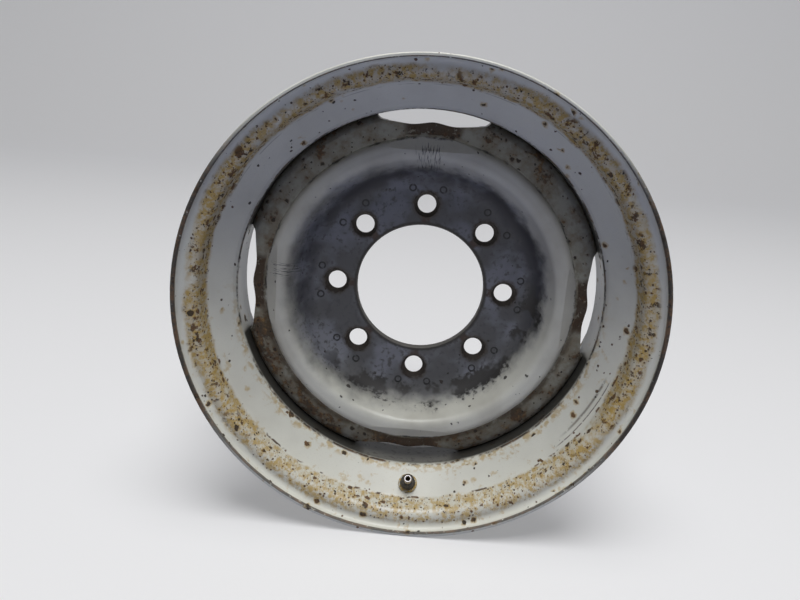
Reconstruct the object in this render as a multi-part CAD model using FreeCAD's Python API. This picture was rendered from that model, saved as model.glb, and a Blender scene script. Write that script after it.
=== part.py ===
"""Steel van wheel: a rolled rim, a pressed disc welded into its well, and a snap-in valve.

The wheel's axis is Y, its street side faces -Y and the valve is at the bottom (-Z).
The origin is the centre of the disc's hub face.  Millimetres and degrees throughout.
"""
import FreeCAD
import Part
import math
import os

# Rim
rim_width = 177.8            # between the two tyre flanges
rim_sheet = 3.5
back_space = 102.0           # hub face to the brake-side lip
lip_reach = 13.1             # how far each lip stands out from its flange
flange_r = 220.1
flange_curl = 9.5
bead_seat_r = 202.8
bead_seat_width = 21.0
bead_seat_taper = 5.0
bead_fillet = 6.5
bead_crown = 10.0
lip_round = 1.2
well_r = 173.1               # inside the well, where the disc is pressed in
well_front = 44.0            # hub face to the well's two ends
well_back = 4.0
well_front_fillet = 8.0
well_back_fillet = 15.0

# Disc
disc_sheet = 7.5
hub_bore_r = 62.45
bore_chamfer = 1.2
bolt_face_r = 110.0          # where the bowl's wall meets the bolt face
bowl_foot_fillet = 24.0
crest_inner_r = 130.0
crest_height = 43.0          # hub face to the crest's top
crest_inner_fillet = 10.0
crest_outer_r = 145.8
crest_outer_fillet = 8.0
crest_groove_fillet = 2.0    # in the groove behind the crest
crest_draft = 15.0
crest_corner_spread = 15.0   # half angle over which each blunt corner leaves the round
crest_corner_sink = 0.6      # start of the corner's flat flanks inside the round
crest_corner_lower = 0.45    # and below the crest, as a share of the crest's edge fillet
crest_ramp_start = 136.5     # flat ramp over each corner, from the crest
crest_ramp_foot = 151.2      # to the outer cone
crease_height = 34.5
crease_r = 148.3
cone_angle = 15.0            # fall of the outer cone from the crease to the skirts
shoulder_fillet = 11.0
skirt_end = 12.0             # hub face to the skirts' inner edges
skirt_fit = 0.05

# Vent windows, straight sides of the pressing's blank
window_count = 4
window_half_width = 50.0
window_edge = 157.8          # axis to the blank's straight side
window_end_rise = 3.0
window_bump = 3.6
window_bump_half = 19.0
window_bump_fillet = 26.0
window_dip_fillet = 40.0
window_end_fillet = 8.0
window_end_flare = 20.0

# Stud holes
stud_count = 8
stud_circle = 165.1
stud_hole_r = 9.0
seat_r = 12.3                # cone seat at the street side
seat_half_angle = 30.0
mark_circle_r = 99.0         # pairs of ring-shaped press marks beside the holes
mark_angle = 8.5
mark_outer_r = 3.4
mark_inner_r = 2.3
mark_depth = 0.4

# Weld beads
weld_leg = 4.5
weld_bulge = 0.6             # share of the leg at the middle of the bead's round face
weld_end_gap = 3.0           # degrees between a bead's end and its window

# Valve
valve_hole_r = 5.75
valve_along_slope = 0.58     # place of the hole between the well and the bead seat
valve_turn = 1.1             # degrees from the bottom towards +X
valve_fit = 0.1
valve_seat_gap = 0.3
valve_collar_r = 9.3
valve_collar_height = 2.2
valve_neck_r = 7.4
valve_tip_r = 6.4
valve_rubber_height = 11.5
valve_head_r = 8.6
valve_head_height = 4.5
valve_edge_round = 0.8
stem_r = 3.85
stem_bore_r = 2.65
stem_passage_r = 1.6
stem_bore_depth = 8.0
stem_height = 17.0
stem_chamfer = 0.5

V = FreeCAD.Vector
ORIGIN = V(0, 0, 0)
AXLE = V(0, 1, 0)


def rounded(corners):
    """Closed wire in the XY plane through (x, y, fillet radius) corners."""
    edges = []
    marks = []
    count = len(corners)
    for i, (x, y, radius) in enumerate(corners):
        here = V(x, y, 0)
        back = V(*corners[i - 1][:2], 0) - here
        ahead = V(*corners[(i + 1) % count][:2], 0) - here
        back.normalize()
        ahead.normalize()
        if radius == 0:
            marks.append((here, here))
            continue
        half = back.getAngle(ahead) / 2
        reach = radius / math.tan(half)
        inward = (back + ahead).normalize()
        middle = here + inward * (radius / math.sin(half) - radius)
        start = here + back * reach
        end = here + ahead * reach
        edges.append(Part.Arc(start, middle, end).toShape())
        marks.append((start, end))
    for i in range(count):
        start = marks[i][1]
        end = marks[(i + 1) % count][0]
        if start.distanceToPoint(end) > 1e-6:
            edges.append(Part.makeLine(start, end))
    return Part.Wire(Part.sortEdges(edges)[0])


def turned(corners):
    """Solid of revolution about the axle from (radius, y, fillet) corners."""
    return Part.Face(rounded(corners)).revolve(ORIGIN, AXLE, 360)


def beside(line, distance):
    """Corners of a (x, y, fillet) line moved to its left, with concentric fillets."""
    moved = []
    for i, (x, y, radius) in enumerate(line):
        here = V(x, y, 0)
        sides = []
        if i > 0:
            sides.append((here - V(*line[i - 1][:2], 0)).normalize())
        if i < len(line) - 1:
            sides.append((V(*line[i + 1][:2], 0) - here).normalize())
        normals = [V(-side.y, side.x, 0) for side in sides]
        mitre = (normals[0] + normals[-1]).normalize()
        shift = mitre * (distance / mitre.dot(normals[0]))
        turn = sides[0].cross(sides[-1]).z
        new_radius = radius
        if radius > 0:
            new_radius = radius - math.copysign(distance, turn)
        moved.append((x + shift.x, y + shift.y, new_radius))
    return moved


def around(shape, count, first=0.0):
    """Copies of a shape turned evenly about the axle."""
    copies = []
    for i in range(count):
        copy = shape.copy()
        copy.rotate(ORIGIN, AXLE, first + i * 360 / count)
        copies.append(copy)
    return copies


def rim_tyre_line():
    """Tyre side of the rim's section, from the street-side lip to the brake-side lip."""
    middle = back_space - lip_reach - rim_width / 2
    front = middle - rim_width / 2
    back = middle + rim_width / 2
    seat_drop = bead_seat_width * math.tan(math.radians(bead_seat_taper))
    crown_r = bead_seat_r - seat_drop
    bed_r = well_r + rim_sheet
    return [
        (flange_r, front - lip_reach, 0),
        (flange_r, front, flange_curl),
        (bead_seat_r, front, bead_fillet),
        (crown_r, front + bead_seat_width, bead_crown),
        (bed_r, -well_front, well_front_fillet),
        (bed_r, -well_back, well_back_fillet),
        (crown_r, back - bead_seat_width, bead_crown),
        (bead_seat_r, back, bead_fillet),
        (flange_r, back, flange_curl),
        (flange_r, back + lip_reach, 0),
    ]


def valve_frame():
    """Centre of the valve hole on the slope's street side, and the valve's outward direction."""
    line = beside(rim_tyre_line(), rim_sheet)
    crown = V(line[3][0], line[3][1], 0)
    bed = V(line[4][0], line[4][1], 0)
    spot = bed + (crown - bed) * valve_along_slope
    slope = (bed - crown).normalize()
    turn = FreeCAD.Rotation(AXLE, -valve_turn)
    return turn.multVec(V(0, spot.y, -spot.x)), turn.multVec(V(0, slope.x, slope.y))


def rim():
    """One rolled ring of even sheet, with the valve hole square to its street-side slope."""
    tyre_side = rim_tyre_line()
    street_side = beside(tyre_side, rim_sheet)
    section = tyre_side + street_side[::-1]
    for i in (0, len(tyre_side) - 1, len(tyre_side), len(section) - 1):
        section[i] = section[i][:2] + (lip_round,)
    spot, outward = valve_frame()
    hole = Part.makeCylinder(valve_hole_r, 8 * rim_sheet, spot + outward * (4 * rim_sheet), -outward)
    return turned(section).cut(hole)


def crest_dome(outer_r, top, fillet):
    """Round block under the crest, with drafted sides and a rounded top edge."""
    bottom = -skirt_end
    draft = math.tan(math.radians(crest_draft))
    return turned([
        (0, top, 0),
        (outer_r, top, fillet),
        (outer_r + (bottom - top) * draft, bottom, 0),
        (0, bottom, 0),
    ])


def crest_corner(outer_r, top, lowered):
    """Pointed block towards +Z: two flat, drafted flanks that leave the round dome and meet."""
    draft = math.tan(math.radians(crest_draft))
    turn = math.radians(crest_corner_spread)
    levels = []
    for y in (top + lowered, -skirt_end):
        r = outer_r + (y - top) * draft
        left = V(-r * math.sin(turn), y, r * math.cos(turn))
        right = V(-left.x, y, left.z)
        levels.append([V(0, y, 0), left, V(0, y, r / math.cos(turn)), right])
    upper, lower = levels
    loops = [upper, lower]
    for i in range(4):
        loops.append([upper[i - 1], upper[i], lower[i], lower[i - 1]])
    faces = [Part.Face(Part.makePolygon(loop + loop[:1])) for loop in loops]
    return Part.Solid(Part.Shell(faces))


def crest_ramp(depth):
    """Space in front of the flat ramp over one corner, with the ramp moved back by a depth."""
    foot_y = -crease_height + (crest_ramp_foot - crease_r) * math.tan(math.radians(cone_angle))
    start = V(0, -crest_height, crest_ramp_start)
    fall = V(0, foot_y, crest_ramp_foot) - start
    inward = V(0, fall.z, -fall.y).normalize()
    low = start + inward * depth + fall * 2
    high = start + inward * depth - fall / 4
    front = inward * -crest_height
    section = Part.Face(Part.makePolygon([low, high, high + front, low + front, low]))
    section.translate(V(-window_half_width, 0, 0))
    return section.extrude(V(2 * window_half_width, 0, 0))


def crest_block(depth):
    """Crest's outer form: a round dome with a blunt, ramped corner towards each window."""
    top = -crest_height + depth
    angle = math.radians(crest_draft)
    outer_r = crest_outer_r - depth * (1 - math.sin(angle)) / math.cos(angle)
    fillet = crest_groove_fillet if depth else crest_outer_fillet
    corner = crest_corner(outer_r - crest_corner_sink, top, fillet * crest_corner_lower)
    block = crest_dome(outer_r, top, fillet).fuse(around(corner, window_count))
    return block.cut(around(crest_ramp(depth), window_count))


def pressed_skin(depth):
    """Everything behind the pressing's street side, with that side moved back by a depth."""
    behind = 20 * disc_sheet
    cone_fall = math.tan(math.radians(cone_angle))
    skirt_r = well_r - skirt_fit
    cone_at = -crease_height - crease_r * cone_fall
    outer = [
        (0, cone_at, 0),
        (skirt_r, cone_at + skirt_r * cone_fall, shoulder_fillet),
        (skirt_r, behind, 0),
    ]
    outer = beside(outer, depth)
    outer[0] = (0, outer[0][1], 0)
    outer_body = turned(outer + [(0, behind, 0)])

    bowl = [
        (0, -disc_sheet, 0),
        (bolt_face_r, -disc_sheet, bowl_foot_fillet),
        (crest_inner_r, -crest_height, crest_inner_fillet),
        (crest_outer_r, -crest_height, 0),
    ]
    bowl = beside(bowl, depth)
    ahead = -2 * crest_height
    wall = V(bowl[2][0] - bowl[1][0], bowl[2][1] - bowl[1][1], 0)
    run_out = bowl[2][2] * math.tan(wall.getAngle(V(1, 0, 0)) / 2)
    rim_of_bowl = bowl[2][0] + run_out
    top = bowl[2][1]
    bowl_body = turned([(0, ahead, 0)] + bowl[:3] + [(rim_of_bowl, top, 0), (rim_of_bowl, ahead, 0)])
    return outer_body.fuse(crest_block(depth)).cut(bowl_body)


def window_cutter():
    """Prism outside one straight side of the blank, with the swell that the crest's corner pushes out."""
    far = well_r + window_end_flare
    half = [
        (window_half_width + window_end_flare, far, 0),
        (window_half_width, window_edge + window_end_rise, window_end_fillet),
        (window_bump_half, window_edge, window_dip_fillet),
    ]
    tip = [(0, window_edge + window_bump, window_bump_fillet)]
    other = [(-x, z, radius) for x, z, radius in half[::-1]]
    plan = Part.Face(rounded(half + tip + other))
    plan.rotate(ORIGIN, V(1, 0, 0), 90)
    prism = plan.extrude(V(0, -2 * crest_height, 0))
    prism.translate(V(0, crest_height, 0))
    return prism


def stud_hole_cutter():
    """One straight stud hole with its cone seat on the street side."""
    hole_z = stud_circle / 2
    rise = disc_sheet / 2
    hole = Part.makeCylinder(stud_hole_r, 3 * disc_sheet, V(0, -2 * disc_sheet, hole_z), AXLE)
    cone_slope = math.tan(math.radians(seat_half_angle))
    cone_depth = (seat_r - stud_hole_r) / cone_slope
    wide_r = seat_r + rise * cone_slope
    cone = Part.makeCone(wide_r, stud_hole_r, cone_depth + rise, V(0, -disc_sheet - rise, hole_z), AXLE)
    return hole.fuse(cone)


def press_mark_cutter(angle):
    """One shallow ring mark in the bolt face, at an angle from a stud hole."""
    turn = math.radians(angle)
    spot = V(mark_circle_r * math.sin(turn), -2 * disc_sheet, mark_circle_r * math.cos(turn))
    reach = disc_sheet + mark_depth
    ring = Part.makeCylinder(mark_outer_r, reach, spot, AXLE)
    return ring.cut(Part.makeCylinder(mark_inner_r, reach, spot, AXLE))


def disc():
    """One pressing: bolt face, bowl, crest, outer cone and four skirts."""
    sheet = pressed_skin(0).cut(pressed_skin(disc_sheet))
    behind = Part.makeCylinder(2 * well_r, 4 * well_r, V(0, -skirt_end, 0), AXLE)
    hub_zone = Part.makeCylinder(crest_inner_r, 4 * well_r, V(0, -skirt_end, 0), AXLE)
    sheet = sheet.cut(behind.cut(hub_zone))
    bore = turned([
        (0, -2 * disc_sheet, 0),
        (hub_bore_r + bore_chamfer + disc_sheet, -2 * disc_sheet, 0),
        (hub_bore_r, -disc_sheet + bore_chamfer, 0),
        (hub_bore_r, disc_sheet, 0),
        (0, disc_sheet, 0),
    ])
    cuts = [bore]
    cuts += around(window_cutter(), window_count)
    cuts += around(stud_hole_cutter(), stud_count)
    for angle in (-mark_angle, mark_angle):
        cuts += around(press_mark_cutter(angle), stud_count)
    return sheet.cut(cuts)


def weld_span():
    """Half the angle of one skirt, less the gap at a bead's end."""
    window_end = math.degrees(math.asin(window_half_width / well_r))
    return 180 / window_count - window_end - weld_end_gap


def weld_bead():
    """Fillet bead in the corner of the skirt's inner edge and the well, centred on +Z."""
    outer_r = well_r - skirt_fit
    bulge_r = outer_r - weld_leg * weld_bulge
    bulge_y = -skirt_end + weld_leg * weld_bulge
    start = V(outer_r - weld_leg, -skirt_end, 0)
    end = V(outer_r, -skirt_end + weld_leg, 0)
    corner = V(outer_r, -skirt_end, 0)
    bulge = Part.Arc(start, V(bulge_r, bulge_y, 0), end).toShape()
    section = Part.Face(Part.Wire([bulge, Part.makeLine(end, corner), Part.makeLine(corner, start)]))
    half = weld_span()
    section.rotate(ORIGIN, AXLE, -90 - half)
    return section.revolve(ORIGIN, AXLE, 2 * half)


def placed_on_valve(shape):
    """Moves a shape made about +Y, with the slope's surface at y = 0, to the valve hole."""
    spot, outward = valve_frame()
    shape.Placement = FreeCAD.Placement(spot, FreeCAD.Rotation(AXLE, outward))
    return shape


def valve_body():
    """Rubber body: head inside the rim, groove in the hole, collar and tapered neck outside."""
    groove_r = valve_hole_r - valve_fit
    base = valve_seat_gap
    under = -rim_sheet - valve_seat_gap
    bore_r = stem_r
    body = turned([
        (bore_r, under - valve_head_height, 0),
        (valve_tip_r, under - valve_head_height, 0),
        (valve_head_r, under - valve_edge_round, valve_edge_round / 2),
        (valve_head_r, under, 0),
        (groove_r, under, 0),
        (groove_r, base, 0),
        (valve_collar_r, base, 0),
        (valve_collar_r, base + valve_collar_height, valve_edge_round),
        (valve_neck_r, base + valve_collar_height, valve_edge_round),
        (valve_tip_r, valve_rubber_height, valve_edge_round),
        (bore_r, valve_rubber_height, 0),
    ])
    return placed_on_valve(body)


def valve_stem():
    """Brass tube in the rubber, with the wide core seat open at its mouth."""
    bottom = -rim_sheet - valve_seat_gap - valve_head_height
    seat = stem_height - stem_bore_depth
    stem = turned([
        (stem_passage_r, bottom, 0),
        (stem_r, bottom, 0),
        (stem_r, stem_height - stem_chamfer, 0),
        (stem_r - stem_chamfer, stem_height, 0),
        (stem_bore_r, stem_height, 0),
        (stem_bore_r, seat, 0),
        (stem_passage_r, seat - stem_bore_r, 0),
    ])
    return placed_on_valve(stem)


def main():
    nodes = {"rim": rim(), "disc": disc(), "valve_body": valve_body(), "valve_stem": valve_stem()}
    for i, bead in enumerate(around(weld_bead(), window_count, 180 / window_count), start=1):
        nodes[f"weld_{i}"] = bead
    os.makedirs("parts", exist_ok=True)
    for name, shape in nodes.items():
        shape.exportStep(f"parts/{name}.step")
        print(name, len(shape.Solids), "solid", shape.isValid(), round(shape.Volume))


main()
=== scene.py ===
# %% [markdown]
# # A rusty steel van wheel
#
# The wheel's form comes from its CAD frame: a rolled rim, a pressed disc welded into the rim's
# well and a snap-in valve. This lesson gives it the finish that years on the road have left:
# old white paint, brown speckled rust on the bead seats, grime on the bolt face and bare,
# darkened steel in the nut seats. The axis of the wheel is Y, its street side faces -Y.

# %% Load the frame
import math

import bmesh
import bpy
from mathutils import Matrix, Vector


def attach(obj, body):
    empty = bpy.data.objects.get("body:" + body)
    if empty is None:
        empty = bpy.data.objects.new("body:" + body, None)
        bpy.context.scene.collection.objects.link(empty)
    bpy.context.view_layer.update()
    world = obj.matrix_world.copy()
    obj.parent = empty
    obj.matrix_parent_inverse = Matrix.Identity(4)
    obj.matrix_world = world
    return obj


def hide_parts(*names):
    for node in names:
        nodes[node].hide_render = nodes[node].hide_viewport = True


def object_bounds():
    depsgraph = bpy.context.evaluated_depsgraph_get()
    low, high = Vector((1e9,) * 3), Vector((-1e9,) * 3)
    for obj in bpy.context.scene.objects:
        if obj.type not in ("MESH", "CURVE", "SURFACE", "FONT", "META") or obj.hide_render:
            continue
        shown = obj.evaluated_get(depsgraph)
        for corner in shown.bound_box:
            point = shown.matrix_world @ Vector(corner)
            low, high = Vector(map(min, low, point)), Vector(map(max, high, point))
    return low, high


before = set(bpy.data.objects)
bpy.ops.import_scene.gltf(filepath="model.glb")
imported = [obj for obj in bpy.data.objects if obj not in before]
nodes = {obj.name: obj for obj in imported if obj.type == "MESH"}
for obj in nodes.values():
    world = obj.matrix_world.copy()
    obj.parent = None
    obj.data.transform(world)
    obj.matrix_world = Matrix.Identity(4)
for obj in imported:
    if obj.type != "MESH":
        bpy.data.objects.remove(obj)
cad_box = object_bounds()
print("nodes:", sorted(nodes))

# %% [markdown]
# ## The camera
#
# The photograph was taken from a little above the wheel's centre, with the camera turned down
# by about fifteen degrees. A pinhole camera is settled by its focal length, its place and three
# angles. They were found by fitting the eight stud holes, so they are written here as plain sizes.

# %% Camera
IMAGE_WIDTH = 800
FOCAL_PIXELS = 802.6
CAMERA_PLACE = Vector((-0.0043, -0.7769, 0.1983))
CAMERA_YAW = math.radians(-1.08)
CAMERA_PITCH = math.radians(-15.46)
CAMERA_ROLL = math.radians(4.42)


def make_camera():
    data = bpy.data.cameras.new("photo_camera")
    data.sensor_width = 36.0
    data.lens = data.sensor_width * FOCAL_PIXELS / IMAGE_WIDTH
    data.clip_start = 0.01
    camera = bpy.data.objects.new("photo_camera", data)
    forward = Vector((
        math.sin(CAMERA_YAW) * math.cos(CAMERA_PITCH),
        math.cos(CAMERA_YAW) * math.cos(CAMERA_PITCH),
        math.sin(CAMERA_PITCH),
    ))
    level = Vector((math.cos(CAMERA_YAW), -math.sin(CAMERA_YAW), 0.0))
    up = level.cross(forward)
    side = level * math.cos(CAMERA_ROLL) + up * math.sin(CAMERA_ROLL)
    top = up * math.cos(CAMERA_ROLL) - level * math.sin(CAMERA_ROLL)
    turn = Matrix((side, top, -forward)).transposed()
    camera.matrix_world = Matrix.Translation(CAMERA_PLACE) @ turn.to_4x4()
    bpy.context.scene.collection.objects.link(camera)
    bpy.context.scene.camera = camera
    print("camera lens:", round(data.lens, 2), "mm")


make_camera()

# %% [markdown]
# ## Floor and light
#
# A wheel like this shows its form by the light from above: the inside of the rim is bright at
# the bottom, where it faces up, and shaded at the top. So the key is one large lamp overhead,
# a little towards the street side, with a weak fill from the front. The floor is a pale sweep that
# bends up far behind, so that no horizon cuts the picture. The camera sees floor and world pale,
# but they throw only a little cool light back, so the upper barrel stays in shade.

# %% Floor and lights
FLOOR_SEEN = (0.58, 0.58, 0.59, 1.0)
FLOOR_BOUNCE = (0.21, 0.235, 0.37, 1.0)
FLOOR_GLOW = 0.28
FLOOR_ROUGHNESS = 0.7
FLOOR_HALF = 6.0
SWEEP_START = 2.6
SWEEP_RADIUS = 1.2
SWEEP_STEPS = 16


def seen_directly(tree):
    """1 for rays from the camera, a mirror or glass, 0 for rays that carry light to a surface."""
    rays = tree.nodes.new("ShaderNodeLightPath")
    seen = rays.outputs["Is Camera Ray"]
    for label in ("Is Glossy Ray", "Is Transmission Ray"):
        either = tree.nodes.new("ShaderNodeMath")
        either.operation = "MAXIMUM"
        tree.links.new(seen, either.inputs[0])
        tree.links.new(rays.outputs[label], either.inputs[1])
        seen = either.outputs[0]
    return seen


def make_floor_finish():
    material = bpy.data.materials.new("pale_floor")
    material.use_nodes = True
    tree = material.node_tree
    shader = tree.nodes["Principled BSDF"]
    seen = seen_directly(tree)
    tone = tree.nodes.new("ShaderNodeMix")
    tone.data_type = "RGBA"
    tree.links.new(seen, tone.inputs[0])
    tone.inputs[6].default_value = FLOOR_BOUNCE
    tone.inputs[7].default_value = FLOOR_SEEN
    tree.links.new(tone.outputs[2], shader.inputs["Base Color"])
    glow = tree.nodes.new("ShaderNodeMath")
    glow.operation = "MULTIPLY"
    tree.links.new(seen, glow.inputs[0])
    glow.inputs[1].default_value = FLOOR_GLOW
    shader.inputs["Emission Color"].default_value = (1.0, 1.0, 1.0, 1.0)
    tree.links.new(glow.outputs[0], shader.inputs["Emission Strength"])
    shader.inputs["Roughness"].default_value = FLOOR_ROUGHNESS
    return material


def make_floor():
    level = cad_box[0][2]
    shape = bmesh.new()
    line = [
        shape.verts.new((-FLOOR_HALF, -FLOOR_HALF, level)),
        shape.verts.new((-FLOOR_HALF, SWEEP_START, level)),
    ]
    for step in range(1, SWEEP_STEPS + 1):
        angle = math.pi / 2 * step / SWEEP_STEPS
        y = SWEEP_START + SWEEP_RADIUS * math.sin(angle)
        z = level + SWEEP_RADIUS * (1 - math.cos(angle))
        line.append(shape.verts.new((-FLOOR_HALF, y, z)))
    line.append(shape.verts.new((-FLOOR_HALF, line[-1].co.y, level + FLOOR_HALF)))
    edges = [shape.edges.new(pair) for pair in zip(line, line[1:])]
    made = bmesh.ops.extrude_edge_only(shape, edges=edges)["geom"]
    moved = [item for item in made if isinstance(item, bmesh.types.BMVert)]
    bmesh.ops.translate(shape, verts=moved, vec=(2 * FLOOR_HALF, 0, 0))
    bmesh.ops.recalc_face_normals(shape, faces=shape.faces)
    mesh = bpy.data.meshes.new("floor")
    shape.to_mesh(mesh)
    shape.free()
    mesh.shade_smooth()
    floor = bpy.data.objects.new("floor", mesh)
    floor.data.materials.append(make_floor_finish())
    bpy.context.scene.collection.objects.link(floor)


def area_lamp(name, place, target, size, power):
    data = bpy.data.lights.new(name, "AREA")
    data.shape = "DISK"
    data.size = size
    data.energy = power
    lamp = bpy.data.objects.new(name, data)
    aim = (Vector(target) - Vector(place)).to_track_quat("-Z", "Y")
    lamp.matrix_world = Matrix.Translation(place) @ aim.to_matrix().to_4x4()
    bpy.context.scene.collection.objects.link(lamp)


make_floor()
area_lamp("overhead_key", place=(0.1, -0.85, 3.1), target=(0.0, -0.1, 0.0), size=2.4, power=108.0)
area_lamp("street_fill", place=(-0.8, -2.4, 0.8), target=(0.0, 0.0, 0.0), size=1.6, power=0.6)
print("floor level:", round(cad_box[0][2], 4), "m")

# %% [markdown]
# ## The world
#
# The world behind the floor works in the same way: pale where it is looked at, dim where it lights.

# %% World
WORLD_SEEN = 0.66
WORLD_LIGHT = 0.03
WORLD_TONE = (0.96, 0.97, 1.0, 1.0)


def make_world():
    world = bpy.data.worlds.new("studio")
    world.use_nodes = True
    tree = world.node_tree
    level = tree.nodes.new("ShaderNodeMath")
    level.operation = "MULTIPLY_ADD"
    tree.links.new(seen_directly(tree), level.inputs[0])
    level.inputs[1].default_value = WORLD_SEEN - WORLD_LIGHT
    level.inputs[2].default_value = WORLD_LIGHT
    backdrop = tree.nodes["Background"]
    backdrop.inputs["Color"].default_value = WORLD_TONE
    tree.links.new(level.outputs[0], backdrop.inputs["Strength"])
    bpy.context.scene.world = world


make_world()
bpy.context.scene.view_settings.view_transform = "Standard"
print("world:", bpy.context.scene.world.name)

# %% [markdown]
# ## Building shader nodes by name
#
# A material is a small graph. These helpers add one node, set its inputs and hand back its
# output, so that a finish reads as a few lines of plain sums. An input is either a number,
# which is written on the socket, or another node's output, which is linked to it.

# %% Node helpers
def feed(tree, socket, value):
    if isinstance(value, bpy.types.NodeSocket):
        tree.links.new(value, socket)
    elif socket.type == "RGBA":
        socket.default_value = (*value[:3], 1.0)
    else:
        socket.default_value = value


def calc(tree, operation, *values):
    node = tree.nodes.new("ShaderNodeMath")
    node.operation = operation
    for socket, value in zip(node.inputs, values):
        feed(tree, socket, value)
    return node.outputs[0]


def times(tree, first, *others):
    for other in others:
        first = calc(tree, "MULTIPLY", first, other)
    return first


def most(tree, first, *others):
    for other in others:
        first = calc(tree, "MAXIMUM", first, other)
    return first


def ramp(tree, value, gain, base):
    """The straight line value * gain + base."""
    return calc(tree, "MULTIPLY_ADD", value, gain, base)


def jitter(tree, base, noise, width):
    """The base, moved both ways by a noise between 0 and 1, over the given width."""
    return ramp(tree, calc(tree, "SUBTRACT", noise, 0.5), width, base)


def fade(tree, value, start, end):
    """0 at start and 1 at end with a smooth step between; start may be the larger one."""
    node = tree.nodes.new("ShaderNodeMapRange")
    node.interpolation_type = "SMOOTHSTEP"
    for socket, item in zip(node.inputs, (value, start, end, 0.0, 1.0)):
        feed(tree, socket, item)
    return node.outputs[0]


def between(tree, value, low, high, soft):
    rise = fade(tree, value, low - soft, low + soft)
    return times(tree, rise, fade(tree, value, high + soft, high - soft))


def blend(tree, amount, under, over):
    node = tree.nodes.new("ShaderNodeMix")
    node.data_type = "RGBA"
    feed(tree, node.inputs[0], amount)
    feed(tree, node.inputs[6], under)
    feed(tree, node.inputs[7], over)
    return node.outputs[2]


def cloud(tree, place, scale, detail=3.0, roughness=0.55):
    node = tree.nodes.new("ShaderNodeTexNoise")
    feed(tree, node.inputs["Vector"], place)
    feed(tree, node.inputs["Scale"], scale)
    feed(tree, node.inputs["Detail"], detail)
    feed(tree, node.inputs["Roughness"], roughness)
    return node.outputs["Fac"]


def vector_of(tree, x, y, z):
    node = tree.nodes.new("ShaderNodeCombineXYZ")
    for socket, value in zip(node.inputs, (x, y, z)):
        feed(tree, socket, value)
    return node.outputs[0]


def stretched(tree, place, x, y, z):
    node = tree.nodes.new("ShaderNodeVectorMath")
    node.operation = "MULTIPLY"
    feed(tree, node.inputs[0], place)
    node.inputs[1].default_value = (x, y, z)
    return node.outputs[0]


def new_group(name, inputs, outputs):
    """Empty shader node group; gives the tree, its input sockets and its output sockets by name."""
    tree = bpy.data.node_groups.new(name, "ShaderNodeTree")
    for label, kind in inputs:
        tree.interface.new_socket(label, in_out="INPUT", socket_type=kind)
    for label, kind in outputs:
        tree.interface.new_socket(label, in_out="OUTPUT", socket_type=kind)
    start = tree.nodes.new("NodeGroupInput")
    end = tree.nodes.new("NodeGroupOutput")
    return tree, start.outputs, end.inputs


def use_group(tree, group, **values):
    node = tree.nodes.new("ShaderNodeGroup")
    node.node_tree = group
    for label, value in values.items():
        feed(tree, node.inputs[label], value)
    return node.outputs


# %% [markdown]
# ## Where on the wheel
#
# Rust and grime follow the wheel's form: a band on the bead seat, a ring round each nut, the
# side of the barrel that faces the brake. So the first shared group turns a point's place into
# wheelwright's terms: its radius, how far along the axle it lies, its turn clockwise from the
# top, and whether the surface there faces inwards to the axle.

# %% Wheel coordinates
WINDOWS = 4.0


def make_wheel_place():
    tree, given, result = new_group(
        "wheel_place",
        [("Place", "NodeSocketVector"), ("Facing", "NodeSocketVector")],
        [(label, "NodeSocketFloat") for label in ("Radius", "Along", "Turn", "Inward")],
    )
    split = tree.nodes.new("ShaderNodeSeparateXYZ")
    feed(tree, split.inputs[0], given["Place"])
    x, y, z = split.outputs
    normal = tree.nodes.new("ShaderNodeSeparateXYZ")
    feed(tree, normal.inputs[0], given["Facing"])
    square = calc(tree, "ADD", times(tree, x, x), times(tree, z, z))
    radius = calc(tree, "SQRT", square)
    outward = times(tree, x, normal.outputs[0])
    outward = calc(tree, "ADD", outward, times(tree, z, normal.outputs[2]))
    feed(tree, result["Radius"], radius)
    feed(tree, result["Along"], y)
    feed(tree, result["Turn"], calc(tree, "ARCTAN2", x, z))
    feed(tree, result["Inward"], calc(tree, "DIVIDE", times(tree, outward, -1.0), radius))
    return tree


def upness(tree, spot):
    """1 at the top of the wheel, 0 at both sides and -1 at the bottom."""
    return calc(tree, "COSINE", spot["Turn"])


def window_wave(tree, spot):
    """1 in the middle of each window and -1 halfway between two."""
    return calc(tree, "COSINE", times(tree, spot["Turn"], WINDOWS))


def faces_axle(tree, spot):
    """1 on the side of the barrel that is seen, 0 on the side under the tyre."""
    return fade(tree, spot["Inward"], -0.1, 0.2)


wheel_place = make_wheel_place()
print("group:", wheel_place.name)

# %% [markdown]
# ## Freckles of rust
#
# Where paint breaks, rust starts as round dots that grow and run together. A Voronoi pattern
# gives each cell one dot; the cell's random colour says whether the dot is there at all and how
# large it is. Feeding Amount with a mask makes the dots crowd in one place and thin out in
# another. A second, wider edge gives the yellow stain round each dot.

# %% Rust freckles
RAGGED_SCALE = 2.2
RAGGED_SHIFT = (0.5, 0.5, 0.5)
SMALLEST_DOT = 0.08
DOT_SPREAD = 0.3


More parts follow.
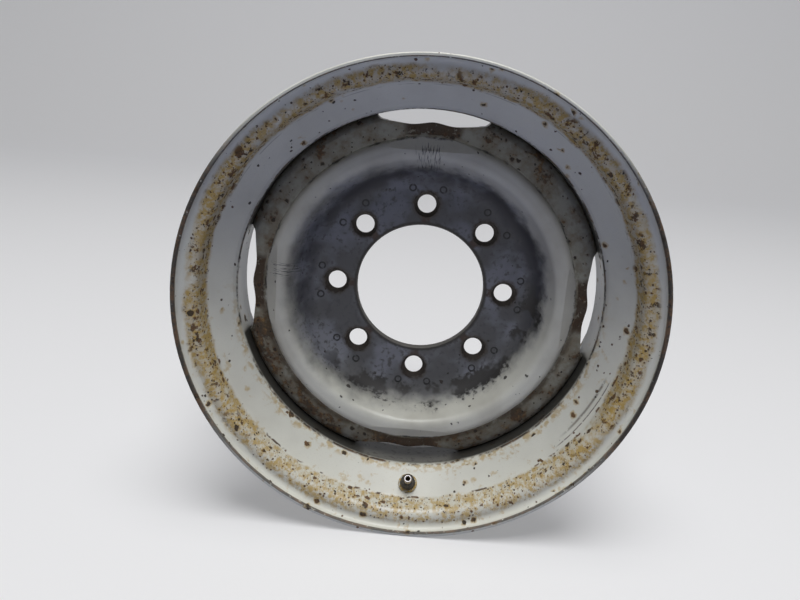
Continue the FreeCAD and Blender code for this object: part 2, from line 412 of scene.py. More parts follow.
def make_freckles():
    tree, given, result = new_group(
        "rust_freckles",
        [("Place", "NodeSocketVector"), ("Size", "NodeSocketFloat"), ("Amount", "NodeSocketFloat")],
        [("Dot", "NodeSocketFloat"), ("Stain", "NodeSocketFloat")],
    )
    scaled = tree.nodes.new("ShaderNodeVectorMath")
    scaled.operation = "SCALE"
    feed(tree, scaled.inputs[0], given["Place"])
    feed(tree, scaled.inputs["Scale"], calc(tree, "DIVIDE", 1.0, given["Size"]))
    ragged = tree.nodes.new("ShaderNodeTexNoise")
    feed(tree, ragged.inputs["Vector"], scaled.outputs[0])
    feed(tree, ragged.inputs["Scale"], RAGGED_SCALE)
    feed(tree, ragged.inputs["Detail"], 2.0)
    shift = tree.nodes.new("ShaderNodeVectorMath")
    shift.operation = "MULTIPLY_ADD"
    feed(tree, shift.inputs[0], ragged.outputs["Color"])
    shift.inputs[1].default_value = RAGGED_SHIFT
    feed(tree, shift.inputs[2], scaled.outputs[0])
    cells = tree.nodes.new("ShaderNodeTexVoronoi")
    feed(tree, cells.inputs["Vector"], shift.outputs[0])
    feed(tree, cells.inputs["Scale"], 1.0)
    pick = tree.nodes.new("ShaderNodeSeparateColor")
    feed(tree, pick.inputs[0], cells.outputs["Color"])
    there = calc(tree, "LESS_THAN", pick.outputs[0], given["Amount"])
    reach = ramp(tree, pick.outputs[1], DOT_SPREAD, SMALLEST_DOT)
    depth = calc(tree, "SUBTRACT", reach, cells.outputs["Distance"])
    feed(tree, result["Dot"], times(tree, fade(tree, depth, -0.03, 0.08), there))
    feed(tree, result["Stain"], times(tree, fade(tree, depth, -0.24, 0.02), there))
    return tree


freckles = make_freckles()
print("group:", freckles.name)

# %% [markdown]
# ## The colour of rust
#
# Young rust is a golden ochre, older rust is brown, and the thick scale is nearly black. One
# group mixes the three by two clouds of different size, so every patch has all of them.

# %% Rust colour
OCHRE = (0.40, 0.235, 0.075)
RUST_BROWN = (0.125, 0.060, 0.022)
RUST_BLACK = (0.022, 0.016, 0.012)


def make_rust_colour():
    tree, given, result = new_group(
        "rust_colour",
        [("Place", "NodeSocketVector"), ("Age", "NodeSocketFloat")],
        [("Colour", "NodeSocketColor"), ("Height", "NodeSocketFloat")],
    )
    coarse = cloud(tree, given["Place"], 85.0, 3.0)
    fine = cloud(tree, given["Place"], 420.0, 3.0)
    mixed = calc(tree, "ADD", times(tree, coarse, 0.6), times(tree, fine, 0.4))
    aged = calc(tree, "ADD", mixed, calc(tree, "SUBTRACT", given["Age"], 0.5))
    young = blend(tree, fade(tree, aged, 0.36, 0.54), OCHRE, RUST_BROWN)
    feed(tree, result["Colour"], blend(tree, fade(tree, aged, 0.55, 0.74), young, RUST_BLACK))
    feed(tree, result["Height"], fine)
    return tree


rust_colour = make_rust_colour()
print("group:", rust_colour.name)

# %% [markdown]
# ## Old paint
#
# The wheel was sprayed once in a warm white. Sprayed paint is a little uneven: a broad drift in
# tone, a fine grain of dust that has settled in it, and the soft ripple called orange peel.

# %% Old paint
PAINT_WHITE = (0.76, 0.76, 0.68)
DUST_AND_SHADE_TONE = (0.43, 0.41, 0.35)


def make_old_paint():
    tree, given, result = new_group(
        "old_paint",
        [("Place", "NodeSocketVector"), ("Dust", "NodeSocketFloat")],
        [("Colour", "NodeSocketColor"), ("Height", "NodeSocketFloat")],
    )
    drift = cloud(tree, given["Place"], 16.0, 4.0)
    grain = cloud(tree, given["Place"], 700.0, 2.0)
    dusty = times(tree, fade(tree, drift, 0.38, 0.72), given["Dust"])
    speck = times(tree, fade(tree, grain, 0.56, 0.72), 0.14)
    cover = most(tree, dusty, speck)
    feed(tree, result["Colour"], blend(tree, cover, PAINT_WHITE, DUST_AND_SHADE_TONE))
    feed(tree, result["Height"], cloud(tree, given["Place"], 330.0, 2.0))
    return tree


old_paint = make_old_paint()
print("group:", old_paint.name)

# %% [markdown]
# ## Starting a material
#
# Each finish below starts the same way: a Principled shader, the point's place on the wheel and
# a Bump node at the end. The shader itself stays in the material, where the exporter finds it.
# Between the two, each layer is one function: it takes the colour so far and lays its own on top.

# %% Material start and end
BUMP_STRENGTH = 0.6
RUST_DEPTH = 0.0006


def start_material(name):
    material = bpy.data.materials.new(name)
    material.use_nodes = True
    tree = material.node_tree
    source = tree.nodes.new("ShaderNodeTexCoord")
    place = source.outputs["Object"]
    spot = use_group(tree, wheel_place, Place=place, Facing=source.outputs["Normal"])
    return material, tree, place, spot


def end_material(tree, colour, roughness, height, depth):
    shader = tree.nodes["Principled BSDF"]
    feed(tree, shader.inputs["Base Color"], colour)
    feed(tree, shader.inputs["Roughness"], roughness)
    bump = tree.nodes.new("ShaderNodeBump")
    bump.inputs["Strength"].default_value = BUMP_STRENGTH
    bump.inputs["Distance"].default_value = depth
    feed(tree, bump.inputs["Height"], height)
    feed(tree, shader.inputs["Normal"], bump.outputs["Normal"])
    return shader


def dress(material, *names):
    for name in names:
        node = nodes[name]
        node.data.materials.clear()
        node.data.materials.append(material)
    print("finish", material.name, "on", len(names), "nodes")


# %% [markdown]
# ## The rim: rust on the bead seats
#
# Water lies between tyre and bead seat, so both seats have rusted all round. First comes a pale
# wash in patches, then a golden haze, combed across the seat. In the haze sit brown freckles,
# then blotches where freckles have run together, and a few dark scabs. A row of short brown
# dashes marks the crease in the lower half.

# %% Bead seat rust
SEAT_END = 0.0695
BAND_END_R = 0.2105
BAND_DRIFT = 0.012
STAIN_TONE = (0.48, 0.318, 0.075)
WASH_TONE = (0.44, 0.325, 0.14)


def rust_band(tree, place, spot, colour):
    side = calc(tree, "ABSOLUTE", spot["Along"])
    up = upness(tree, spot)
    patch = cloud(tree, place, 24.0, 4.0, 0.6)
    drift = times(tree, calc(tree, "SUBTRACT", patch, 0.5), BAND_DRIFT)
    seat = calc(tree, "ADD", side, drift)
    seat = fade(tree, seat, SEAT_END - 0.002, SEAT_END + 0.002)
    ring = calc(tree, "SUBTRACT", spot["Radius"], drift)
    ring = fade(tree, ring, BAND_END_R + 0.003, BAND_END_R - 0.003)
    crowd = times(tree, seat, ring, fade(tree, patch, 0.30, 0.48))
    combed = stretched(tree, place, 1.0, 0.5, 1.0)
    haze = times(tree, crowd, fade(tree, cloud(tree, combed, 190.0, 5.0, 0.72), 0.41, 0.59))
    thick = fade(tree, up, -0.9, -0.35)
    wash = times(tree, crowd, ramp(tree, thick, 0.42, 0.1))
    colour = blend(tree, wash, colour, WASH_TONE)
    haze = times(tree, haze, ramp(tree, thick, 0.15, 0.8))
    colour = blend(tree, haze, colour, STAIN_TONE)
    young = use_group(tree, freckles, Place=combed, Size=0.0021, Amount=times(tree, crowd, 0.62))
    fresh = use_group(tree, rust_colour, Place=place, Age=0.6)
    colour = blend(tree, times(tree, young["Dot"], 0.9), colour, fresh["Colour"])
    blotch = fade(tree, cloud(tree, place, 95.0, 4.0, 0.66), 0.565, 0.625)
    blotch = times(tree, crowd, thick, blotch)
    dash = between(tree, side, SEAT_END - 0.0014, SEAT_END + 0.0004, 0.0005)
    dash = times(tree, dash, faces_axle(tree, spot), fade(tree, up, 0.2, -0.3))
    dash = times(tree, dash, fade(tree, cloud(tree, place, 75.0, 2.0), 0.58, 0.62))
    loose = times(tree, fade(tree, side, SEAT_END - 0.004, SEAT_END), 0.05)
    often = most(tree, times(tree, crowd, 0.4), loose)
    dots = use_group(tree, freckles, Place=place, Size=0.0036, Amount=often)
    scabs = use_group(tree, freckles, Place=place, Size=0.0085, Amount=times(tree, crowd, 0.25))
    old = use_group(tree, rust_colour, Place=place, Age=0.62)
    dark = most(tree, dots["Dot"], scabs["Dot"], blotch, dash)
    colour = blend(tree, times(tree, dark, 0.95), colour, old["Colour"])
    return colour, most(tree, young["Dot"], dark)


# %% [markdown]
# ## The rim: spots on the slopes
#
# The slopes keep their paint. Stones have broken it in single spots, each with a yellow halo,
# loosely in clusters, and in the lower half the paint round them has yellowed too. Along the
# lower edge of the well the spots stand closer.

# %% Slope spots
WELL_EDGE = -0.0445


def slope_spots(tree, place, spot, colour):
    up = upness(tree, spot)
    low = fade(tree, up, 0.2, -0.5)
    group = fade(tree, cloud(tree, place, 15.0, 2.0), 0.44, 0.60)
    yellow = times(tree, fade(tree, cloud(tree, place, 85.0, 4.0, 0.65), 0.58, 0.70), low, 0.5)
    colour = blend(tree, yellow, colour, STAIN_TONE)
    brink = between(tree, spot["Along"], WELL_EDGE - 0.006, WELL_EDGE, 0.002)
    brink = times(tree, brink, low, faces_axle(tree, spot))
    often = ramp(tree, group, 0.17, 0.035)
    often = most(tree, often, times(tree, brink, 0.3))
    large = use_group(tree, freckles, Place=place, Size=0.0088, Amount=often)
    few = ramp(tree, group, 0.14, 0.025)
    small = use_group(tree, freckles, Place=place, Size=0.0046, Amount=few)
    old = use_group(tree, rust_colour, Place=place, Age=0.66)
    edge = times(tree, brink, fade(tree, cloud(tree, place, 140.0, 3.0), 0.45, 0.6))
    halo = times(tree, most(tree, large["Stain"], edge), 0.65)
    colour = blend(tree, halo, colour, STAIN_TONE)
    dark = most(tree, large["Dot"], small["Dot"])
    return blend(tree, times(tree, dark, 0.95), colour, old["Colour"]), dark


# %% [markdown]
# ## The rim: worn edges
#
# Paint breaks first on edges. A thin brown line runs round the inner edge of the lip, and at both
# sides the whole end of the lip is brown. A broken dark line follows the upper part of the crease
# between seat and slope, and on the lower right a scrape runs beside it.

# %% Edge lines
CREASE_SIDE = 0.0672
LIP_SIDE = 0.1004
LIP_EDGE_R = 0.2166
SCRAPE_START = 1.9
SCRAPE_STOP = 2.3
SCRAPE_LINE = (0.0657, 0.0662)
SCRAPE_BAND = (0.0618, 0.0632)


def edge_lines(tree, place, spot, colour):
    side = calc(tree, "ABSOLUTE", spot["Along"])
    up = upness(tree, spot)
    patch = cloud(tree, place, 38.0, 3.0)
    fine = cloud(tree, place, 260.0, 3.0)
    level = calc(tree, "ABSOLUTE", up)
    inside = faces_axle(tree, spot)
    lip = times(tree, fade(tree, side, LIP_SIDE - 0.0008, LIP_SIDE), fade(tree, fine, 0.18, 0.34))
    lip = times(tree, lip, fade(tree, level, 0.85, 0.45))
    inner = between(tree, spot["Radius"], LIP_EDGE_R - 0.0006, LIP_EDGE_R + 0.0008, 0.0004)
    inner = times(tree, inner, fade(tree, side, LIP_SIDE - 0.0030, LIP_SIDE - 0.0012))
    inner = times(tree, inner, fade(tree, fine, 0.26, 0.4))
    crease = between(tree, side, CREASE_SIDE - 0.0002, CREASE_SIDE + 0.0002, 0.0004)
    crease = times(tree, crease, fade(tree, patch, 0.46, 0.6), fade(tree, up, 0.1, 0.6))
    crease = times(tree, crease, inside, 0.6)
    brink = between(tree, spot["Along"], WELL_EDGE - 0.001, WELL_EDGE + 0.002, 0.0009)
    broken = calc(tree, "ADD", patch, times(tree, fine, 0.5))
    brink = times(tree, brink, fade(tree, broken, 0.62, 0.86), inside)
    street = fade(tree, spot["Along"], 0.0, -0.01)
    scrape = times(tree, between(tree, spot["Turn"], SCRAPE_START, SCRAPE_STOP, 0.03), street)
    scrape_line = between(tree, side, *SCRAPE_LINE, 0.0003)
    scrape_band = between(tree, side, *SCRAPE_BAND, 0.0007)
    scrape_band = times(tree, scrape_band, fade(tree, spot["Turn"], SCRAPE_STOP, 2.15), 0.7)
    scrape = times(tree, scrape, inside, most(tree, scrape_line, scrape_band))
    scrape = times(tree, scrape, fade(tree, fine, 0.3, 0.46))
    old = use_group(tree, rust_colour, Place=place, Age=0.68)
    lines = most(tree, lip, times(tree, inner, 0.9), crease, brink, scrape)
    return blend(tree, times(tree, lines, 0.95), colour, old["Colour"]), lines


# %% [markdown]
# ## The rim: dirt and painted shade in the well
#
# Where the disc meets the well, the well is near black between the windows and dark olive in the
# bottom window: packed dirt with painted shade in the crevice between the parts. The upper three
# windows get much less of it. Brake dust has browned the barrel behind the disc.

# %% Well dirt
WELL_FLOOR_R = 0.1768
# Tones of the well: packed dirt with painted shade in the crevice, darkest between the windows.
CREVICE_DIRT_AND_SHADE = (0.018, 0.017, 0.016)
WINDOW_DIRT_AND_SHADE = (0.095, 0.092, 0.078)
CLOT_TONE = (0.025, 0.019, 0.014)
BRAKE_DUST = (0.17, 0.145, 0.12)


def well_dirt_and_shade(tree, place, spot, colour):
    along = spot["Along"]
    up = upness(tree, spot)
    patch = cloud(tree, place, 30.0, 3.0)
    shut = fade(tree, window_wave(tree, spot), 0.5, 0.2)
    shut = most(tree, shut, fade(tree, up, -0.6, -0.85))
    # The crevice where the disc meets the well: packed dirt and painted shade.
    crevice = between(tree, along, WELL_EDGE + 0.002, -0.006, 0.002)
    crevice = times(tree, crevice, fade(tree, spot["Radius"], WELL_FLOOR_R, WELL_FLOOR_R - 0.002))
    grime_and_shade = times(tree, crevice, fade(tree, ramp(tree, patch, 0.4, shut), 0.1, 0.7))
    window = fade(tree, window_wave(tree, spot), 0.4, 0.6)
    crevice_tone = blend(tree, window, CREVICE_DIRT_AND_SHADE, WINDOW_DIRT_AND_SHADE)
    clots = fade(tree, cloud(tree, place, 190.0, 4.0, 0.65), 0.54, 0.64)
    crevice_tone = blend(tree, clots, crevice_tone, CLOT_TONE)
    colour = blend(tree, times(tree, grime_and_shade, 0.95), colour, crevice_tone)
    brake = times(tree, fade(tree, along, -0.004, 0.03), fade(tree, spot["Inward"], 0.1, 0.4))
    brake = times(tree, brake, fade(tree, patch, 0.25, 0.75), 0.5)
    return blend(tree, brake, colour, BRAKE_DUST)


# %% [markdown]
# ## The rim's finish
#
# The layers go on in the order in which they came: paint, rust of the seats, spots, the well's dirt
# with its painted shade, and last the worn edges. Where there is rust, the surface is rougher and
# its scale stands up as a bump.

# %% Rim finish
def make_rim_paint():
    material, tree, place, spot = start_material("rim_paint")
    paint = use_group(tree, old_paint, Place=place, Dust=0.25)
    colour, band = rust_band(tree, place, spot, paint["Colour"])
    colour, spots = slope_spots(tree, place, spot, colour)
    colour = well_dirt_and_shade(tree, place, spot, colour)
    colour, lines = edge_lines(tree, place, spot, colour)
    rust = most(tree, band, spots, lines)
    scale = cloud(tree, place, 420.0, 3.0)
    roughness = ramp(tree, rust, 0.45, 0.38)
    peel = times(tree, paint["Height"], 0.25)
    height = ramp(tree, rust, times(tree, scale, 2.0), peel)
    end_material(tree, colour, roughness, height, RUST_DEPTH)
    return material


dress(make_rim_paint(), "rim")

# %% [markdown]
# ## The disc: film on the bolt face
#
# The bolt face is dark with road film, in cloudy patches. The film thins out up the wall of the
# bowl, and on the left it reaches further and ends more softly. In the upper half the corner at the
# foot of the wall, under the crest, is darkest: dirt with painted shade. At the bottom and on the
# lower right it ends in black blots.

# %% Road film
FILM_END = 0.1185
FILM_LEFT = 0.008
CORNER_SPAN = (0.105, 0.119)
BLOT_SPAN = (0.102, 0.117)
FILM_DARK = (0.075, 0.076, 0.082)
FILM_PALE = (0.205, 0.213, 0.245)
FILM_SPECK = (0.05, 0.05, 0.055)
# Corner tone: dirt with painted shade under the crest.
CORNER_SHADE_AND_DIRT = (0.030, 0.030, 0.040)
BLOT_TONE = (0.014, 0.012, 0.011)


def road_film(tree, place, spot, colour):
    radius = spot["Radius"]
    up = upness(tree, spot)
    right = calc(tree, "SINE", spot["Turn"])
    broad = cloud(tree, place, 21.0, 3.0)
    patch = cloud(tree, place, 48.0, 4.0)
    fine = cloud(tree, place, 230.0, 3.0)
    ragged = jitter(tree, radius, patch, 0.016)
    left = fade(tree, right, 0.0, -0.8)
    end = ramp(tree, up, 0.002, ramp(tree, left, FILM_LEFT, FILM_END))
    soft = ramp(tree, right, -0.002, 0.008)
    film = calc(tree, "DIVIDE", calc(tree, "SUBTRACT", end, ragged), soft)
    film = fade(tree, film, -1.0, 1.0)
    tone = blend(tree, fade(tree, broad, 0.42, 0.62), FILM_DARK, FILM_PALE)
    tone = blend(tree, fade(tree, fine, 0.5, 0.72), tone, FILM_SPECK)
    colour = blend(tree, times(tree, film, 0.96), colour, tone)
    # Upper-half corner at the foot of the wall: dirt with painted shade under the crest.
    corner = times(tree, between(tree, ragged, *CORNER_SPAN, 0.005), fade(tree, up, -0.6, 0.1))
    corner = times(tree, corner, fade(tree, broad, 0.74, 0.5), 0.92)
    colour = blend(tree, corner, colour, CORNER_SHADE_AND_DIRT)
    torn = jitter(tree, ragged, fine, 0.022)
    side = ramp(tree, right, -0.4, up)
    blots = times(tree, between(tree, torn, *BLOT_SPAN, 0.003), fade(tree, side, -0.15, -0.55))
    blots = times(tree, blots, fade(tree, cloud(tree, place, 34.0, 3.0), 0.43, 0.52))
    return blend(tree, times(tree, blots, 0.95), colour, BLOT_TONE), film


# %% [markdown]
# ## The disc: rust on the cone
#
# Outside the crest the metal lies in the wet. The cone is a dull olive grey with brown scale,
# which is worst in the middle of each window. In the lower half, a dark brown band follows the
# crease, where water stands.

# %% Cone rust
CREASE_R = 0.1482
WET_WIDTH = 0.0055
CONE_OLIVE = (0.39, 0.385, 0.32)
CONE_BROWN = (0.19, 0.145, 0.085)
SCAB_DARK = (0.055, 0.040, 0.026)
WET_BROWN = (0.085, 0.062, 0.036)
TAB_BROWN = (0.05, 0.028, 0.015)


def cone_rust(tree, place, spot, colour):
    radius = spot["Radius"]
    up = upness(tree, spot)
    patch = cloud(tree, place, 52.0, 4.0, 0.6)
    fine = cloud(tree, place, 220.0, 4.0)
    ragged = jitter(tree, radius, fine, 0.003)
    cone = fade(tree, ragged, CREASE_R - 0.0009, CREASE_R + 0.0009)
    colour = blend(tree, times(tree, cone, 0.92), colour, CONE_OLIVE)
    old = use_group(tree, rust_colour, Place=place, Age=0.53)
    low = ramp(tree, up, -0.05, ramp(tree, fine, 0.25, patch))
    brown = times(tree, cone, fade(tree, low, 0.46, 0.68))
    colour = blend(tree, times(tree, brown, 0.62), colour, CONE_BROWN)
    scale = times(tree, cone, fade(tree, low, 0.66, 0.76))
    scab = blend(tree, fade(tree, fine, 0.38, 0.60), SCAB_DARK, old["Colour"])
    colour = blend(tree, times(tree, scale, 0.85), colour, scab)
    wet = between(tree, ragged, CREASE_R, CREASE_R + WET_WIDTH, 0.0025)
    wet = times(tree, wet, fade(tree, up, 0.55, -0.35), fade(tree, low, 0.42, 0.60))
    colour = blend(tree, times(tree, wet, 0.8), colour, WET_BROWN)
    window = fade(tree, window_wave(tree, spot), 0.72, 0.86)
    tab = times(tree, window, fade(tree, ragged, CREASE_R + 0.001, CREASE_R + 0.003))
    tab = times(tree, tab, fade(tree, fine, 0.28, 0.42))
    colour = blend(tree, times(tree, tab, 0.92), colour, TAB_BROWN)
    line = between(tree, ragged, CREASE_R - 0.0014, CREASE_R + 0.0004, 0.0008)
    line = times(tree, line, fade(tree, ramp(tree, up, -0.05, patch), 0.42, 0.56))
    colour = blend(tree, times(tree, line, 0.95), colour, RUST_BLACK)
    often = ramp(tree, cone, 0.22, 0.03)
    dots = use_group(tree, freckles, Place=place, Size=0.0062, Amount=often)
    nicks = ramp(tree, cone, 0.14, times(tree, fade(tree, patch, 0.48, 0.62), 0.10))
    specks = use_group(tree, freckles, Place=place, Size=0.0033, Amount=nicks)
    colour = blend(tree, times(tree, dots["Stain"], cone, 0.5), colour, RUST_BROWN)
    dark = most(tree, dots["Dot"], specks["Dot"])
    colour = blend(tree, times(tree, dark, 0.9), colour, RUST_BLACK)
    return colour, most(tree, scale, tab, dark)


# %% [markdown]
# ## The disc: marks of the nuts
#
# Eight nuts have rubbed their cone seats dark, and rust has run from each one to the bore. Grime
# outlines the press marks beside the studs and the bore, whose very edge is rubbed bare.
# To draw the same mark eight times, the turn is folded into one eighth of the wheel: there each
# point has a distance sideways from the stud's ray and a distance from the stud's centre.

# %% Stud marks
STUD_CIRCLE_R = 0.08255
STUDS = 8.0
SEAT_R = 0.0124
BORE_R = 0.06245
MARK_CIRCLE_R = 0.099
MARK_TURN = math.radians(8.5)
MARK_R = 0.0034
RUN_START_R = 0.0725
RUN_TONE = (0.032, 0.013, 0.009)
HALO_TONE = (0.050, 0.036, 0.027)
SEAT_BROWN = (0.035, 0.021, 0.014)
MARK_TONE = (0.014, 0.013, 0.014)
BORE_BLACK = (0.016, 0.013, 0.011)
BORE_BARE = (0.24, 0.225, 0.2)


def distance(tree, first, second):
    square = calc(tree, "ADD", times(tree, first, first), times(tree, second, second))
    return calc(tree, "SQRT", square)


def stud_marks(tree, place, spot, colour):
    radius = spot["Radius"]
    fine = cloud(tree, place, 240.0, 4.0)
    patch = cloud(tree, place, 40.0, 2.0)
    step = 2 * math.pi / STUDS
    turned = calc(tree, "FLOORED_MODULO", calc(tree, "ADD", spot["Turn"], step / 2), step)
    local = calc(tree, "SUBTRACT", turned, step / 2)
    sideways = times(tree, local, STUD_CIRCLE_R)
    apart = distance(tree, sideways, calc(tree, "SUBTRACT", radius, STUD_CIRCLE_R))
    torn = jitter(tree, apart, fine, 0.006)
    run = fade(tree, calc(tree, "ABSOLUTE", sideways), 0.0065, 0.003)
    run = times(tree, run, fade(tree, radius, RUN_START_R, RUN_START_R - 0.002))
    run = times(tree, run, fade(tree, fine, 0.3, 0.46), fade(tree, patch, 0.32, 0.44))
    colour = blend(tree, times(tree, run, 0.95), colour, RUN_TONE)
    halo = times(tree, fade(tree, torn, SEAT_R + 0.0035, SEAT_R), 0.75)
    colour = blend(tree, halo, colour, HALO_TONE)
    nut_seat = fade(tree, torn, SEAT_R + 0.0008, SEAT_R - 0.0008)
    bare = blend(tree, fade(tree, fine, 0.5, 0.7), RUST_BLACK, SEAT_BROWN)
    colour = blend(tree, nut_seat, colour, bare)
    beside = calc(tree, "SUBTRACT", calc(tree, "ABSOLUTE", local), MARK_TURN)
    beyond = calc(tree, "SUBTRACT", radius, MARK_CIRCLE_R)
    away = distance(tree, times(tree, beside, MARK_CIRCLE_R), beyond)
    mark = between(tree, away, MARK_R - 0.0012, MARK_R + 0.0004, 0.0004)
    mark = times(tree, mark, fade(tree, fine, 0.3, 0.46), 0.95)
    colour = blend(tree, mark, colour, MARK_TONE)
    edge = jitter(tree, radius, fine, 0.003)
    grime_and_shade = times(tree, fade(tree, edge, BORE_R + 0.0045, BORE_R + 0.0022), 0.92)
    colour = blend(tree, grime_and_shade, colour, BORE_BLACK)
    rubbed = times(tree, fade(tree, radius, BORE_R + 0.0011, BORE_R + 0.0006), 0.7)
    colour = blend(tree, rubbed, colour, BORE_BARE)
    return colour, nut_seat


# %% [markdown]
# ## The disc: scratches on the crest
#
# In two places something has dragged over the crest and left a bundle of fine dark lines. Noise
# that changes quickly with the turn but slowly with the radius draws lines along the rays.

# %% Crest scratches
SCRATCH_SPANS = [(-0.10, 0.07), (-1.51, -1.41)]
SCRATCH_START_R = 0.124
SCRATCH_END_R = 0.150
SCRATCH_TONE = (0.03, 0.03, 0.04)


def crest_scratches(tree, place, spot, colour):
    turn = spot["Turn"]
    radius = spot["Radius"]
    spokes = vector_of(tree, turn, 0.0, times(tree, radius, 0.7))
    scratch = fade(tree, cloud(tree, spokes, 150.0, 1.0), 0.55, 0.61)
    worn_and_shaded = most(tree, *[between(tree, turn, low, high, 0.012) for low, high in SCRATCH_SPANS])
    ends = ramp(tree, cloud(tree, place, 160.0, 2.0), 0.016, radius)
    crest = between(tree, ends, SCRATCH_START_R, SCRATCH_END_R, 0.003)
    scratch = times(tree, scratch, worn_and_shaded, crest)
    return blend(tree, times(tree, scratch, 0.9), colour, SCRATCH_TONE)


# %% [markdown]
# ## The disc's finish
#
# The disc has the rim's paint under more dust, darker towards the top and sides: painted shade.
# Film, rust, nut marks and scratches follow. Film is duller than paint, and rust is rougher than
# both.

# %% Disc finish
def make_disc_paint():
    material, tree, place, spot = start_material("disc_paint")
    paint = use_group(tree, old_paint, Place=place, Dust=0.6)
    # Dust all over, and darker towards the top and sides: painted shade.
    shade = fade(tree, upness(tree, spot), -0.7, 0.1)
    worn_and_shaded = blend(tree, ramp(tree, shade, 0.28, 0.12), paint["Colour"], DUST_AND_SHADE_TONE)
    colour, film = road_film(tree, place, spot, worn_and_shaded)
    colour, rust = cone_rust(tree, place, spot, colour)
    colour, nut_seat = stud_marks(tree, place, spot, colour)
    colour = crest_scratches(tree, place, spot, colour)
    scale = cloud(tree, place, 420.0, 3.0)
    rough = most(tree, rust, nut_seat)
    roughness = ramp(tree, most(tree, rough, times(tree, film, 0.6)), 0.4, 0.34)
    peel = times(tree, paint["Height"], 0.25)
    height = ramp(tree, rough, times(tree, scale, 2.0), peel)
    end_material(tree, colour, roughness, height, RUST_DEPTH)
    return material


dress(make_disc_paint(), "disc")

# %% [markdown]
# ## Weld beads
#
# Four runs of weld hold the skirts of the disc in the well. A run by hand or machine freezes in
# overlapping ripples, so the bump here is a wave along the turn of the wheel. Paint covers it
# thinly, and rust comes through.

# %% Weld finish
RIPPLES_PER_RADIAN = 62.0
RIPPLE_DEPTH = 0.0012


def make_weld_bead():
    material, tree, place, spot = start_material("weld_bead")
    fine = cloud(tree, place, 260.0, 3.0)
    paint = use_group(tree, old_paint, Place=place, Dust=0.8)
    rust = use_group(tree, rust_colour, Place=place, Age=0.55)
    cover = fade(tree, fine, 0.4, 0.56)
    colour = blend(tree, cover, paint["Colour"], rust["Colour"])
    phase = times(tree, spot["Turn"], RIPPLES_PER_RADIAN * 2 * math.pi)
    wobble = ramp(tree, fine, 2.5, phase)
    ripple = ramp(tree, calc(tree, "SINE", wobble), 0.5, 0.5)
    end_material(tree, colour, ramp(tree, cover, 0.35, 0.45), ripple, RIPPLE_DEPTH)
    return material


dress(make_weld_bead(), "weld_1", "weld_2", "weld_3", "weld_4")

# %% [markdown]
# ## The valve
#
# The body is black rubber gone brown with dust. Its collar was sprayed with the rim, and the coat
# has yellowed at its edge. The tube in it is dull brass, rubbed bright at its mouth. Coat and shine
# end at heights above the slope, measured along the valve: the dot product of the valve's
# direction and the way from its foot.

# %% Valve finishes
VALVE_FOOT = Vector((0.00360, -0.05940, -0.18727))
VALVE_AXIS = Vector((-0.01344, -0.71385, 0.70017))
COLLAR_HEIGHT = 0.0027
MOUTH_HEIGHT = 0.0166
RUBBER_BLACK = (0.022, 0.02, 0.018)
RUBBER_DUST = (0.10, 0.082, 0.055)
RUBBER_DEPTH = 0.0004
BRASS_PALE = (0.42, 0.36, 0.25)
BRASS_DARK = (0.16, 0.115, 0.06)
BRASS_RUBBED = (0.66, 0.64, 0.66)
BRASS_DEPTH = 0.0002
BRASS_METALLIC = 0.9


def height_on_valve(tree, place):
    node = tree.nodes.new("ShaderNodeVectorMath")
    node.operation = "DOT_PRODUCT"
    feed(tree, node.inputs[0], place)
    node.inputs[1].default_value = VALVE_AXIS
    return calc(tree, "SUBTRACT", node.outputs["Value"], VALVE_AXIS.dot(VALVE_FOOT))


def make_valve_rubber():
    material, tree, place, _ = start_material("valve_rubber")
    dust = cloud(tree, place, 320.0, 4.0)
    colour = blend(tree, fade(tree, dust, 0.4, 0.68), RUBBER_BLACK, RUBBER_DUST)
    paint = use_group(tree, old_paint, Place=place, Dust=0.8)
    height = height_on_valve(tree, place)
    coat = fade(tree, height, COLLAR_HEIGHT + 0.0003, COLLAR_HEIGHT - 0.0003)
    coat = times(tree, coat, fade(tree, dust, 0.62, 0.52), 0.9)
    colour = blend(tree, coat, colour, paint["Colour"])
    edge = between(tree, height, COLLAR_HEIGHT - 0.0010, COLLAR_HEIGHT + 0.0004, 0.0005)
    edge = times(tree, edge, fade(tree, dust, 0.40, 0.52), 0.85)
    colour = blend(tree, edge, colour, STAIN_TONE)
    end_material(tree, colour, ramp(tree, dust, 0.2, 0.62), dust, RUBBER_DEPTH)
    return material


def make_valve_brass():
    material, tree, place, _ = start_material("valve_brass")
    tarnish = cloud(tree, place, 520.0, 4.0)
    colour = blend(tree, fade(tree, tarnish, 0.38, 0.6), BRASS_PALE, BRASS_DARK)
    worn_and_shaded = fade(tree, height_on_valve(tree, place), MOUTH_HEIGHT - 0.0003, MOUTH_HEIGHT)
    colour = blend(tree, times(tree, worn_and_shaded, 0.85), colour, BRASS_RUBBED)
    shader = end_material(tree, colour, ramp(tree, tarnish, 0.3, 0.35), tarnish, BRASS_DEPTH)
    shader.inputs["Metallic"].default_value = BRASS_METALLIC
    return material


dress(make_valve_rubber(), "valve_body")
valve_brass = make_valve_brass()
dress(valve_brass, "valve_stem")

# %% [markdown]
# ## The stem's thread
#
# The frame's stem is a plain tube. On the real one, a fine right-hand thread for a dust cap runs
# down from the mouth. A bump would leave its outline straight, so a new stem stands for the node:
# the tube is a closed outline spun once round, and the thread is a small triangle that climbs
# while it is spun. Both are made upright at the origin and then laid along the valve.

# %% Threaded stem
STEM_R = 0.00385
STEM_ROOT_R = 0.00350
STEM_CHAMFER = 0.0003
STEM_BORE_R = 0.00265
STEM_PASSAGE_R = 0.0016
STEM_BOTTOM = -0.0083
STEM_TOP = 0.0170
BORE_SEAT = 0.0090
THREAD_FOOT = 0.0120
THREAD_PITCH = 0.0008
THREAD_TURNS = 4.5
THREAD_SUNK = 0.0001
STEPS_PER_TURN = 32
SHARP_ANGLE = math.radians(30)


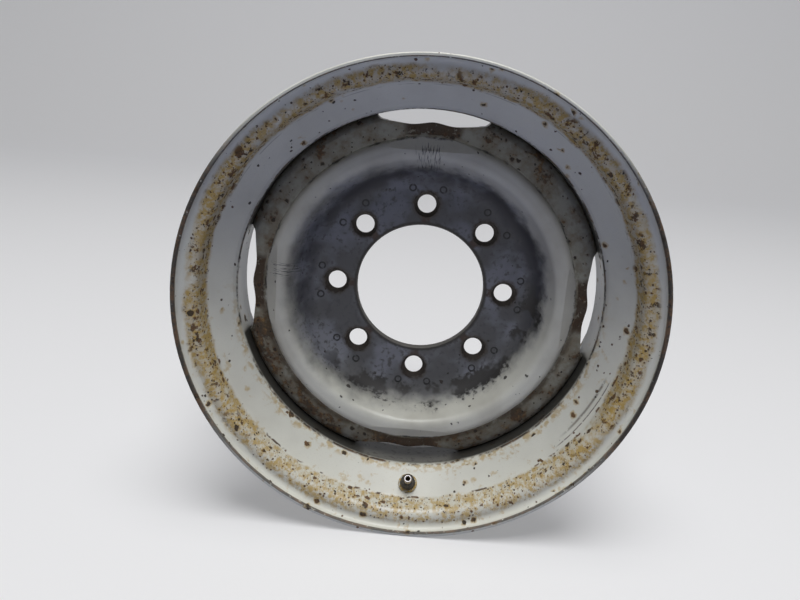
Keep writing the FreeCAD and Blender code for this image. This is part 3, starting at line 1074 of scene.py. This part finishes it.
def spin_outline(shape, outline, turns, climb):
    ring = [shape.verts.new((radius, 0.0, height)) for radius, height in outline]
    edges = [shape.edges.new(pair) for pair in zip(ring, ring[1:] + ring[:1])]
    bmesh.ops.spin(
        shape,
        geom=ring + edges,
        cent=(0, 0, 0),
        axis=(0, 0, 1),
        dvec=(0, 0, climb / STEPS_PER_TURN),
        angle=2 * math.pi * turns,
        steps=round(turns * STEPS_PER_TURN),
        use_merge=climb == 0,
    )


def make_threaded_stem():
    tube = [
        (STEM_PASSAGE_R, STEM_BOTTOM),
        (STEM_R, STEM_BOTTOM),
        (STEM_R, THREAD_FOOT - STEM_CHAMFER),
        (STEM_ROOT_R, THREAD_FOOT),
        (STEM_ROOT_R, STEM_TOP - STEM_CHAMFER),
        (STEM_ROOT_R - STEM_CHAMFER, STEM_TOP),
        (STEM_BORE_R, STEM_TOP),
        (STEM_BORE_R, BORE_SEAT),
        (STEM_PASSAGE_R, BORE_SEAT - STEM_BORE_R),
    ]
    tooth = [
        (STEM_ROOT_R - THREAD_SUNK, THREAD_FOOT + 0.1 * THREAD_PITCH),
        (STEM_R, THREAD_FOOT + 0.5 * THREAD_PITCH),
        (STEM_ROOT_R - THREAD_SUNK, THREAD_FOOT + 0.9 * THREAD_PITCH),
    ]
    shape = bmesh.new()
    spin_outline(shape, tube, 1.0, 0.0)
    spin_outline(shape, tooth, THREAD_TURNS, THREAD_PITCH)
    bmesh.ops.holes_fill(shape, edges=[edge for edge in shape.edges if edge.is_boundary])
    bmesh.ops.recalc_face_normals(shape, faces=shape.faces)
    lean = Vector((0, 0, 1)).rotation_difference(VALVE_AXIS).to_matrix().to_4x4()
    on_slope = Matrix.Translation(VALVE_FOOT) @ lean
    bmesh.ops.transform(shape, matrix=on_slope, verts=shape.verts)
    open_edges = sum(not edge.is_manifold for edge in shape.edges)
    mesh = bpy.data.meshes.new("threaded_stem")
    shape.to_mesh(mesh)
    shape.free()
    mesh.shade_smooth()
    mesh.set_sharp_from_angle(angle=SHARP_ANGLE)
    mesh.materials.append(valve_brass)
    stem = bpy.data.objects.new("threaded_stem", mesh)
    bpy.context.scene.collection.objects.link(stem)
    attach(stem, "root")
    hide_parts("valve_stem")
    print("threaded stem:", len(mesh.polygons), "faces,", open_edges, "open edges")


make_threaded_stem()
